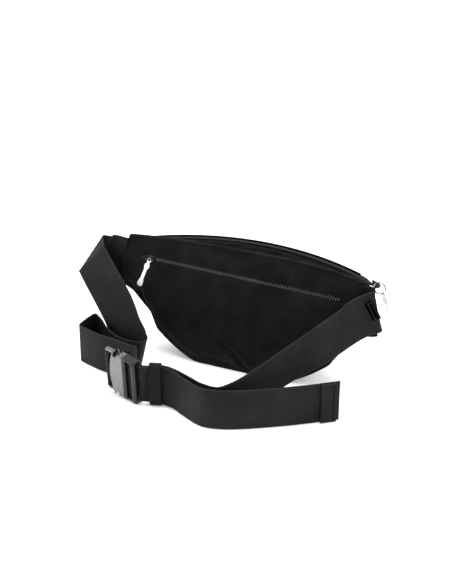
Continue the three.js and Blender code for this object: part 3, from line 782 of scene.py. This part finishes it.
# ---------------- seams
def make_seams():
    """Binding tape round the panels' edges, with its stitching."""
    samples = 90
    spans = [2 * k / samples - 1 for k in range(samples + 1)]

    def panel_edge(height, far, out, inset):
        """Along the top or bottom edge of the back panel."""
        way = 1 if height is bottom_z else -1
        return [on_panel(far * s, height(far * s) / math.cos(LEAN) + way * inset, out) for s in spans]

    for name, height, far in (("seam_top", top_z, TOP_REACH), ("seam_bottom", bottom_z, BOTTOM_REACH)):
        lift = 0.4 if height is top_z else 2.1
        edge = [p + Vector((0, 0, lift)) for p in panel_edge(height, far, -1.4, 0.4)]
        sew(tube(name, edge, 1.9, binding, 10))
        sewn = panel_edge(height, far * 0.985, 1.15, 4.2)
        sew(stitches(name + "_stitch", sewn, on_panel(0, 0, 1)))
    for side, name in ((-1, "seam_end_left"), (1, "seam_end_right")):
        low = on_panel(side * BOTTOM_REACH, bottom_z(BOTTOM_REACH) / math.cos(LEAN), -1.4)
        high = on_panel(side * TOP_REACH, top_z(side * TOP_REACH) / math.cos(LEAN), -1.4)
        edge = [low.lerp(high, k / 24) for k in range(25)]
        sew(tube(name, edge, 2.0, binding, 10))
        inset = Vector((-side * 5, -1.6, 0))
        sew(stitches(name + "_stitch", [p + inset for p in edge[1:-1]], on_panel(0, 0, 1)))
    front_edge = [front_section(s * BODY_HALF)[3] + Vector((0, 0.6, 1.4)) for s in spans]
    sew(tube("seam_front_bottom", front_edge, 1.3, binding, 8))
    for name, outwards in (("zip_lip_rear", -1), ("zip_lip_front", 1)):
        path = [zip_at(s * BODY_HALF, outwards * (ZIP_SHOWN / 2 + 0.1)) + ARC_UP * 0.1 for s in spans]
        sew(tube(name, path, 1.0, shaded_top_nylon))
        sewn = [zip_at(s * (BODY_HALF - 2), outwards * (ZIP_SHOWN / 2 + 2.6)) + ARC_UP * 0.75
                for s in spans]
        sew(stitches(name + "_stitch", sewn, ARC_UP))


def make_main_zip():
    """Two tapes and an interlocked coil along the arc over the top."""
    for name, way in (("main_zip_tape_rear", -1), ("main_zip_tape_front", 1)):
        def point(u, v, way=way):
            angle = (2 * u - 1) * CHAIN_HALF_ANGLE
            width = 5.0 * (1 - 0.75 * smoothstep(0.86, 0.97, abs(2 * u - 1)))
            return on_arc(angle, way * (0.15 + width * v), 0.25 - 0.7 * v * v)
        tape = thicken(grid(name, point, 140, 6, zip_tape), 0.5)
        settle(tape, "bag", "zip_coil", *(["main_zip_chain"] if way > 0 else []))
    pitch = 1.35
    count = int((2 * CHAIN_HALF_ANGLE * ARC_RADIUS - 4) / pitch)
    teeth = []
    for k in range(count):
        angle = ((k + 0.5) / count * 2 - 1) * (CHAIN_HALF_ANGLE - 2 / ARC_RADIUS)
        way = 1 if k % 2 else -1
        across = (on_arc(angle, 1) - on_arc(angle)).normalized()
        forwards = (on_arc(angle + 0.001) - on_arc(angle)).normalized()
        centre = on_arc(angle, 0.45 * way, 0.75)
        teeth.append(leaning_tooth(centre, across, forwards, way, ARC_UP))
    settle(beads("main_zip_coil", teeth, shaded_top_coil, 3.4, 0.95, 1.3), "bag", "zip_coil")
    for name, across_mm in (("main_zip_cord_rear", -1.5), ("main_zip_cord_front", 1.5)):
        path = [on_arc((k / 45 - 1) * (CHAIN_HALF_ANGLE - 0.006), across_mm, 1.05) for k in range(91)]
        settle(stitches(name, path, ARC_UP, 1.1, 1.5), "bag", "zip_coil")


# ---------------- the belt
BUCKLE_AT = Vector((-113.5, -117.0, 34.5))
BUCKLE_TURN = (
    Matrix.Rotation(math.radians(-14), 3, "Z")
    @ Matrix.Rotation(math.radians(5), 3, "Y")
    @ Matrix.Rotation(math.radians(98), 3, "X")
)
BUCKLE_UP = BUCKLE_TURN @ Vector((0, 1, 0))


def at_buckle(x, z):
    """A webbing station at (x, z) of the buckle's own frame."""
    p = BUCKLE_AT + BUCKLE_TURN @ Vector((x, 0, z))
    return (*p, BUCKLE_UP.x / BUCKLE_UP.z, BUCKLE_UP.y / BUCKLE_UP.z)


def round_the_bar(x, z, radius, start, end):
    """Stations on an arc round a bar, between two angles in degrees."""
    stations = []
    for k in range(9):
        angle = math.radians(start + (end - start) * k / 8)
        stations.append(at_buckle(x + radius * math.cos(angle), z + radius * math.sin(angle)))
    return stations


# A station is (x, y, z) of the webbing's middle, then how far its width leans along x and y for
# each millimetre of height. A station without a lean stands upright.
LEFT_BELT = [
    (-158.5, -25.5, 71, 1.2, 0.3), (-136, -38.5, 46.5, 0.92, 0.14),
    (-114.5, -45, 29, 0.41, -0.09), (-103.5, -54.5, 26.2, 0.28, -0.05), (-103, -65, LOW, 0.22, 0),
    (-112, -71.5, LOW, 0.1, 0), (-125, -70, LOW), (-138, -64, LOW), (-155, -53, LOW),
    (-171, -37.5, LOW), (-182, -28.5, LOW), (-188.6, -24.2, LOW), (-191, -25.6, LOW),
    (-191.6, -31, LOW), (-191.8, -43, LOW), (-191.4, -55, LOW), (-190.4, -60, LOW),
    (-186.5, -62.4, LOW), (-172, -67.5, LOW),
    (-152, -73, LOW), (-128, -76.5, LOW), (-108, -80.5, LOW), (-97, -84.5, LOW + 1),
    (-92.5, -93, LOW + 2.5), (-95.5, -102, LOW + 4, 0.02, -0.05),
    (-103, -108, LOW + 6.5, 0.04, -0.1), at_buckle(6, -6.6),
    *round_the_bar(0, 0, 3.15, -125, -385),
]
RIGHT_BELT = [
    (165.8, 10.5, 113, -0.27, 0), (169.4, 9.8, 114, -0.27, 0.02), (171.4, 6.2, 114.2, -0.27, 0.04),
    (168.4, 1.6, 113, -0.29, 0.02), (157, -2, 107, -0.34, -0.13), (143.5, -10, 96.5, -0.33, -0.29),
    (121, -37.5, 79.5, -0.31, -0.33), (95.5, -65, 62.5, -0.2, -0.44), (77, -87.5, 49, -0.13, -0.41),
    (58.5, -110, 36, -0.06, -0.29), (42, -127, 28, 0, -0.1), (31, -131.8, 25.8, 0, -0.02),
]
TO_PLUG = [
    (26, -132.4, LOW + 0.2), (12, -129.5, LOW), (0, -124.5, LOW), (-14, -118.8, LOW),
    (-28, -115, LOW + 0.8), (-43, -114.6, LOW + 1.9), (-56.5, -119.6, LOW + 2.6, 0.06, -0.14),
    at_buckle(51, -3.5), at_buckle(46, -3.4), at_buckle(40, -3.5),
]
FREE_END = [
    *round_the_bar(36.6, -0.1, 3.2, -100, -260), at_buckle(39, 1.4), at_buckle(42, -0.6),
    at_buckle(47, -0.9), at_buckle(51, -0.9), (-57, -123.2, LOW + 2.6, 0.06, -0.14),
    (-43, -118.1, LOW + 1.9), (-28, -119, LOW + 0.8), (-14, -125.5, LOW), (0, -132.5, LOW),
    (10, -137, LOW), (24, -140, LOW), (44, -135, LOW), (65, -124, LOW), (97, -102.5, LOW),
    (126, -80.5, LOW), (153, -57, LOW),
]


PER_SPAN = 5                    # points of a path to each span between stations


def webbing_path(stations, per_span=PER_SPAN):
    """(middle, direction, up, normal) of webbing at many places along its stations."""
    middles = smoothed([Vector(s[:3]) for s in stations], per_span)
    leans = smoothed([Vector((*s[3:5], 1)) if len(s) > 3 else Vector((0, 0, 1)) for s in stations],
                     per_span)
    path = []
    for middle, direction, lean in zip(middles, directions(middles), leans):
        up = (lean - direction * lean.dot(direction)).normalized()
        path.append((middle, direction, up, direction.cross(up)))
    return path


# Half of a webbing section: (share of the width, share of the thickness), rim last.
WEB_SECTION = ((0.0, 0.9), (0.3, 0.92), (0.6, 0.9), (0.84, 0.88), (0.9, 0.8), (0.93, 0.98),
               (0.97, 1.0), (0.992, 0.7))


def web_outline():
    """(across, through) all the way round a webbing section, both from -1 to 1."""
    upper = [(-a, b) for a, b in reversed(WEB_SECTION[1:])] + list(WEB_SECTION)
    return upper + [(1.0, 0.0)] + [(a, -b) for a, b in reversed(upper)] + [(-1.0, 0.0)]


def straight_row(place, width):
    """A row of webbing across one place of a path: its points and normals by share across."""
    middle, _, up, normal = place
    return lambda share: (middle + up * share * width / 2, normal)


def make_webbing(name, path, width=WEB_WIDTH, thick=WEB_THICK, material=webbing, leading=()):
    """A strip with a rolled selvedge along both edges; its UVs run along and across it."""
    rows = list(leading) + [straight_row(place, width) for place in path]
    section = web_outline()
    points, uvs = [], []
    along = 0.0
    for k, row in enumerate(rows):
        along += (row(0.0)[0] - rows[k - 1](0.0)[0]).length if k else 0.0
        for a, b in section:
            wave = 0.12 * ripple((along * 0.4, a * 20, 0), 9, 2) * (1 - abs(a) ** 4)
            place, normal = row(a)
            points.append(place + normal * (b * thick / 2 + wave))
            uvs.append((along, a * width / 2 + WEB_UV_MIDDLE))
    return new_mesh(name, points, ring_faces(len(rows), len(section)), material, uvs)


class DiagonalFold:
    """Webbing that leaves the left wing flat and rolls over itself about a slanting line."""

    start = Vector((-163.9, 10.5, 120))
    middle = Vector((-207.4, 17.4, 113.6))          # where its middle meets the fold's line
    line = Vector((-0.37, -0.516, -0.772)).normalized()
    radius, turn = 4.5, math.radians(158)
    seam_up = Vector((END_LEAN, 0, 1)).normalized()     # how it leans where it leaves the seam
    seam_length = 24                                # and how soon that lean has gone
    lead = 14                                       # between its last two stations

    def __init__(self):
        self.reach = (self.middle - self.start).length
        self.way = (self.middle - self.start).normalized()
        self.across = (self.way - self.line * self.way.dot(self.line)).normalized()
        self.facing = self.way.cross(self.line).normalized()
        self.up = self.facing.cross(self.way)
        if self.up.z < 0:
            self.up = -self.up
        lean = WEB_WIDTH / 2 * abs(self.up.dot(self.across))
        self.length = self.reach + (lean + self.radius * self.turn) / self.way.dot(self.across)

    def turned(self, vector, angle):
        """A vector of the flat strip after it has gone that far round the roll."""
        along = vector.dot(self.line)
        over = vector.dot(self.across)
        return self.line * along + over * (
            self.across * math.cos(angle) + self.facing * math.sin(angle))

    def at(self, distance, offset):
        """(point, normal) at a distance along the strip and an offset across it."""
        flat = self.start + self.way * distance + self.up * offset
        past = (flat - self.middle).dot(self.across)
        angle = min(self.turn, max(0.0, past / self.radius))
        place = flat
        if past > 0:
            foot = flat - self.across * past
            rolled = self.across * math.sin(angle) + self.facing * (1 - math.cos(angle))
            left = max(0.0, past - self.radius * self.turn)
            place = foot + self.radius * rolled + left * self.turned(self.across, angle)
        twist = (self.seam_up - self.up) * offset * (1 - smoothstep(0, self.seam_length, distance))
        normal = self.turned(self.way, angle).cross(self.turned(self.up, angle))
        return place + twist, normal.normalized()

    def rows(self, length, half=WEB_WIDTH / 2, offset=0.0, count=60):
        """Rows across the strip, evenly spaced over its first stretch."""
        return [lambda share, d=length * k / count: self.at(d, share * half + offset)
                for k in range(count)]

    def stations(self):
        """A station before the strip is straight again, and one where it is."""
        up = self.turned(self.up, self.turn)
        way = self.turned(self.way, self.turn)
        end = self.at(self.length, 0)[0]
        return [(*p, up.x / up.z, up.y / up.z) for p in (end - way * self.lead, end)]


def sewn_across(name, row, body, slot, lift):
    """A line of stitches across webbing, on the face that lift is towards."""
    line = [row(share)[0] + row(share)[1] * lift for share in (-0.86, -0.4, 0.0, 0.4, 0.86)]
    settle(stitches(name, line, row(0.0)[1] * (1 if lift > 0 else -1), 2.2, 3.0), body, slot)


def make_left_belt(fold):
    """The fixed belt: it leaves the left end through the fold and ends round the socket's bar."""
    path = webbing_path(fold.stations() + LEFT_BELT)[PER_SPAN:]
    piece = make_webbing("belt_left", path, leading=fold.rows(fold.length))
    settle(piece, "bag", "webbing", "strap_left")


def make_right_belt(path):
    """The other belt, between the bag and the plug."""
    piece = make_webbing("belt_right", path)
    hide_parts("strap_right")
    tuple(placed((26, -132, 25)))
    tuple(placed((-57, -120, 28)))
    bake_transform(piece)


def make_free_end():
    """The belt's end that comes back out of the plug, and its folded and sewn hem."""
    path = webbing_path(FREE_END)
    piece = make_webbing("belt_free_end", path)
    settle(piece, "plug", "webbing", "strap_adjusting_end")
    hem_path = webbing_path([(137.5, -74.2, LOW), (145, -67.9, LOW), (151.5, -61.9, LOW)], 8)
    hem_thick = 2.6
    hem = make_webbing("belt_hem", hem_path, WEB_WIDTH, hem_thick)
    settle(hem, "plug", "webbing", "strap_hem")
    middle, _, up, out = hem_path[-5]
    proud, half_line = 1.5, 23.5
    for name, side in (("hem_stitch_front", 1), ("hem_stitch_back", -1)):
        edge = [middle + up * across + out * side * proud for across in (-half_line, half_line)]
        places = [(place, way, out * side) for place, way in evenly(edge, 3.8)]
        settle(beads(name, places, black_tape_and_tab_shadow, 2.5, 1.1, 0.6), "plug", "webbing")


def make_belt():
    fold = DiagonalFold()
    right = webbing_path(RIGHT_BELT + TO_PLUG)
    make_left_belt(fold)
    make_right_belt(right)
    make_free_end()
    lift = 0.95                 # of the stitches, from the webbing's middle
    for k, distance in enumerate((2.5, 5.5)):
        row = lambda share, d=distance: fold.at(d, share * WEB_WIDTH / 2)
        sewn_across(f"left_belt_stitch_{k}", row, "bag", "webbing", -lift)
        row = straight_row(right[8 + 2 * k], WEB_WIDTH)
        sewn_across(f"right_belt_stitch_{k}", row, "bag", "webbing", lift)


def make_sleeves():
    """The pack cloth that runs on over the start of the belt at both ends."""
    thick, width = 3.2, 58
    rows = DiagonalFold().rows(length=30, half=width / 2, offset=-2, count=24)
    left = make_webbing("wing_sleeve_left", [], 0, thick, nylon, rows)
    sew(left)
    stations = [(x, y, 112.5, -END_LEAN, 0) for x, y in ((154, 10.9), (162, 10.7), (167, 9.6))]
    right = make_webbing("wing_sleeve_right", webbing_path(stations), width, thick, nylon)
    sew(right)


def make_tab():
    """A short piece of webbing folded double and sewn on the belt's fold."""
    turn = Matrix.Rotation(math.radians(-30), 3, "Y")
    at = Vector((169.3, -3.6, 118))
    loop = [(-11.0, 0.45), (-7, 0.5), (0, 0.55), (7, 0.5), (10.4, 0.4), (10.9, 0.0), (10.4, -0.4),
            (7, -0.5), (0, -0.55), (-7, -0.5), (-11, -0.45)]
    across = turn @ Vector((1, 0, 0))
    middles = smoothed([at + turn @ Vector((0, y, -z)) for z, y in loop], 4)
    path = [(middle, direction, across, direction.cross(across))
            for middle, direction in zip(middles, directions(middles))]
    # 11 mm wide, wider than the tab itself, so that its blackest cloth also covers the shadow beside
    # it: painted shadow
    width, thick = 11, 0.8
    settle(make_webbing("side_tab_folded", path, width, thick, black_tape_and_tab_shadow), "bag", "webbing",
           "side_tab")
    out = Vector((0, -1, 0))
    corners = [at + turn @ Vector((x, -1.2, z)) for x, z in
               ((-1, -9.6), (4.2, -9.6), (4.2, 9.6), (-1, 9.6))]
    places = []
    for start, end in zip(corners, corners[1:] + corners[:1]):
        places += [(p, d, out) for p, d in evenly([start, end], 2.6)]
    settle(beads("side_tab_stitches", places, pale_thread, 1.9, 0.6, 0.5), "bag", "webbing")


def make_keeper():
    """The elastic loop that holds the free end against the belt."""
    at = Vector((-50.5, -119.1, 28.0))
    turn = Matrix.Rotation(math.radians(20.3), 3, "Z") @ Matrix.Rotation(math.radians(4), 3, "X")
    width, thickness, height, wall = 14.6, 11.8, 52.3, 0.9
    radius = 3.6                # of its corners
    proud = 0.5                 # of the sheet that the wall is put behind
    step = 2.5
    half_y, half_z = thickness / 2 - wall / 2, height / 2 - wall / 2
    loop = []
    for sy, sz, start in ((1, 1, 0), (-1, 1, 90), (-1, -1, 180), (1, -1, 270)):
        for k in range(7):
            angle = math.radians(start + 15 * k)
            loop.append((sy * (half_y - radius) + radius * math.cos(angle),
                         sz * (half_z - radius) + radius * math.sin(angle)))
    samples = []
    for (y0, z0), (y1, z1) in zip(loop, loop[1:] + loop[:1]):
        steps = max(1, round(math.hypot(y1 - y0, z1 - z0) / step))
        samples += [(y0 + (y1 - y0) * k / steps, z0 + (z1 - z0) * k / steps) for k in range(steps)]

    def point(u, v):
        y, z = samples[round(u * len(samples)) % len(samples)]
        flat = Vector((y, z))
        drawn_in = 0.5 * math.sin(math.pi * v) * (1 if abs(z) < half_z - radius else 0)
        if abs(z) <= half_z - radius:
            flat.x += math.copysign(proud - drawn_in, y)
        else:
            flat.x += proud * y / half_y
        flat.y += proud * (z / half_z)
        edge = 0.35 * ripple((0, flat.y, 0), 3, 1)
        x = (v - 0.5) * (width - 0.8) + (2 * v - 1) * edge
        return at + turn @ Vector((x, flat.x, flat.y))

    piece = grid("keeper_elastic", point, len(samples), 10, elastic)
    thicken(piece, wall * 0.9, 1.0)
    settle(piece, "keeper", "elastic", "strap_keeper")


# ---------------- carried-over parts
def dress(node, material, bevel_mm=0.0):
    """A CAD node that stays: its detailed material, and softened edges."""
    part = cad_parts[node]
    part.data.materials.clear()
    part.data.materials.append(material)
    if bevel_mm:
        bevel = part.modifiers.new("rounded edges", "BEVEL")
        bevel.width = bevel_mm * MM
        bevel.segments = 3
        bevel.limit_method = "ANGLE"
        bevel.angle_limit = math.radians(40)


def dress_carried_parts():
    dress("back_pocket_lining", lining_cloth)
    for node in ("back_zip_slider", "main_zip_slider"):
        dress(node, enamel, 0.25)
    for node in ("back_zip_pull", "main_zip_pull"):
        dress(node, bright)
    dress("main_zip_ring", ring_steel)
    dress("buckle_socket", gunmetal, 0.5)
    for node in ("prong_upper", "prong_lower"):
        dress(node, dark_gunmetal, 0.5)
    dress("buckle_plug", buckle_plastic, 0.5)


def buckle_point(x, y, z):
    return BUCKLE_AT + BUCKLE_TURN @ Vector((x, y, z))


def make_buckle_details():
    """Grip ribs on the buttons, the roll on the plug's end bar and ribs on its shoulder."""
    facing = BUCKLE_TURN @ Vector((0, 0, 1))
    for name, side, body in (("button_ribs_upper", 1, "latch_upper"),
                             ("button_ribs_lower", -1, "latch_lower")):
        ribs = [(buckle_point(13.2 + 1.7 * k, side * (25.7 - 0.1 * (k - 1.5) ** 2), 0),
                 facing, BUCKLE_UP) for k in range(4)]
        settle(beads(name, ribs, dark_gunmetal, 5.0, 0.8, 1.0), body, "buckle_gunmetal")
    roll = [buckle_point(43.6, y, 3.9) for y in range(-28, 29, 4)]
    settle(tube("plug_end_roll", roll, 3.2, buckle_plastic, 20), "plug", "buckle_plastic")
    shoulder = [(buckle_point(x, 0, 5.5), BUCKLE_UP, facing) for x in (28.9, 30.7)]
    settle(beads("plug_shoulder_ribs", shoulder, buckle_plastic, 52, 1.0, 0.9), "plug",
           "buckle_plastic")


set_camera()
set_studio()
make_floor()
make_back_panel()
make_back_zip()
make_panels()
make_seams()
make_main_zip()
make_belt()
make_sleeves()
make_tab()
make_keeper()
make_buckle_details()
dress_carried_parts()
